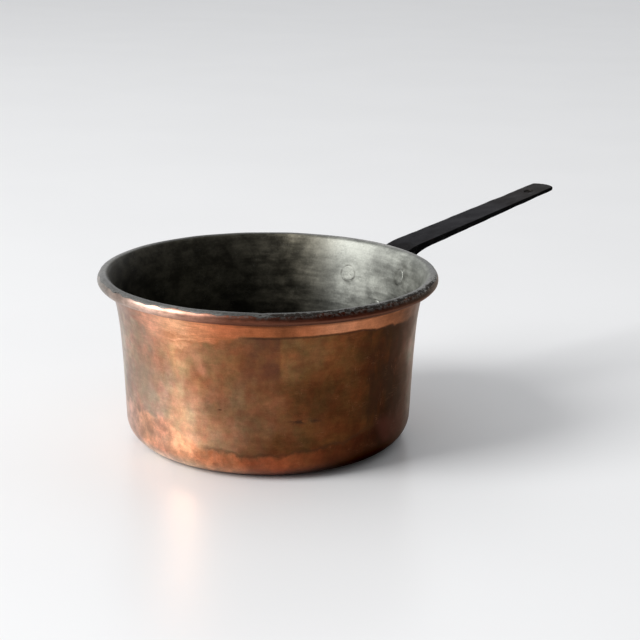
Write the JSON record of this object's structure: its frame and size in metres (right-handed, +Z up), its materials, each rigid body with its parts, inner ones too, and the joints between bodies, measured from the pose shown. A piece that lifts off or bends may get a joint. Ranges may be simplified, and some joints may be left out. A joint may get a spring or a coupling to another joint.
{
  "type": "saucepan",
  "caption": "Copper saucepan with a rolled and wired rim, a tinned inside and a long flat iron handle riveted to the wall, for cooking on a hob.",
  "frame": {"origin": "centre of the flat underside, on the pan's axis", "axes": "+X out along the handle, +Z up from the base to the rim, +Y across the pan"},
  "size_m": [0.418, 0.24, 0.1456],
  "materials": {
    "copper": "copper sheet with a brown patina, rubbed bright below the rim and round the base",
    "tin": "dull wiped tin with grey mottling",
    "wire_iron": "drawn iron wire",
    "handle_iron": "forged black iron, rubbed smooth",
    "rivet_copper": "hammered copper, tinned inside the pan"
  },
  "bodies": {
    "root": {"vessel": "copper", "tin_lining": "tin", "rim_wire": "wire_iron", "handle": "handle_iron", "rivet_upper_left": "rivet_copper", "rivet_upper_right": "rivet_copper", "rivet_lower": "rivet_copper"}
  },
  "joints": []
}
